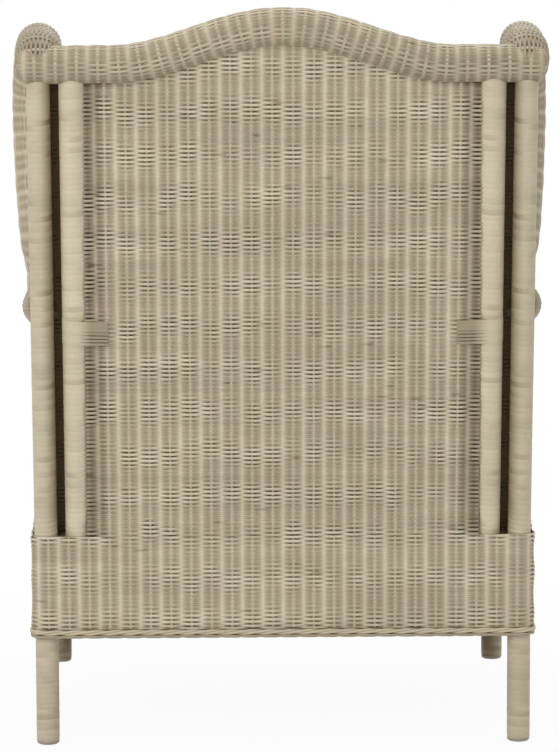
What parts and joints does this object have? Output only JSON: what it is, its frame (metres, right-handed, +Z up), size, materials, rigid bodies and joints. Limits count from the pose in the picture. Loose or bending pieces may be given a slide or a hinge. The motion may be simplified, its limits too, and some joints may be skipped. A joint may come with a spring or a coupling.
{
  "type": "wing-back armchair",
  "caption": "Woven rattan wing-back armchair with a camelback top roll, rolled wings and arms, a skirted seat on wrapped pole legs and a loose seat cushion.",
  "frame": {"origin": "on the floor under the middle of the chair's overall box", "axes": "+Z up, -Y towards the front of the seat, +X to the sitter's left"},
  "size_m": [0.7804, 0.7568, 1.0585],
  "materials": {
    "rattan_pole": "bare rattan pole, satin",
    "rattan_peel": "pale greyed rattan peel, satin",
    "rattan_weave": "pale greyed rattan weave, matt",
    "rattan_plait": "plaited rattan border, matt",
    "nylon_glide": "moulded nylon",
    "cushion_fabric": "plain woven linen cover with self piping"
  },
  "bodies": {
    "frame": {"rear_post_left": "rattan_pole", "rear_post_right": "rattan_pole", "front_leg_left": "rattan_pole", "front_leg_right": "rattan_pole", "back_upright_left": "rattan_pole", "back_upright_right": "rattan_pole", "wing_rail_left": "rattan_pole", "wing_rail_right": "rattan_pole", "top_rail": "rattan_pole", "back_mid_rail": "rattan_pole", "rear_seat_rail": "rattan_pole", "front_seat_rail": "rattan_pole", "side_seat_rail_left": "rattan_pole", "side_seat_rail_right": "rattan_pole", "rear_lower_rail": "rattan_pole", "front_lower_rail": "rattan_pole", "side_lower_rail_left": "rattan_pole", "side_lower_rail_right": "rattan_pole", "seat_slat_1": "rattan_pole", "seat_slat_2": "rattan_pole", "seat_slat_3": "rattan_pole", "seat_slat_4": "rattan_pole", "rear_post_binding_left": "rattan_peel", "rear_post_binding_right": "rattan_peel", "front_leg_binding_left": "rattan_peel", "front_leg_binding_right": "rattan_peel", "back_upright_binding_left": "rattan_peel", "back_upright_binding_right": "rattan_peel", "upright_lashing_left": "rattan_peel", "upright_lashing_right": "rattan_peel", "back_roll": "rattan_weave", "wing_roll_left": "rattan_weave", "wing_roll_right": "rattan_weave", "arm_roll_left": "rattan_weave", "arm_roll_right": "rattan_weave", "back_weave_outer": "rattan_weave", "back_weave_inner": "rattan_weave", "wing_weave_outer_left": "rattan_weave", "wing_weave_outer_right": "rattan_weave", "wing_weave_inner_left": "rattan_weave", "wing_weave_inner_right": "rattan_weave", "arm_weave_outer_left": "rattan_weave", "arm_weave_outer_right": "rattan_weave", "arm_weave_inner_left": "rattan_weave", "arm_weave_inner_right": "rattan_weave", "seat_deck": "rattan_weave", "rear_skirt": "rattan_weave", "front_skirt": "rattan_weave", "side_skirt_left": "rattan_weave", "side_skirt_right": "rattan_weave", "rear_skirt_border": "rattan_plait", "front_skirt_border": "rattan_plait", "side_skirt_border_left": "rattan_plait", "side_skirt_border_right": "rattan_plait", "rear_glide_left": "nylon_glide", "rear_glide_right": "nylon_glide", "front_glide_left": "nylon_glide", "front_glide_right": "nylon_glide"},
    "cushion": {"seat_cushion": "cushion_fabric"}
  },
  "joints": [
    {"name": "cushion_lift", "type": "slide", "parent": "frame", "child": "cushion", "axis": [0, 0, 1], "range_m": [0, 0.37]}
  ]
}
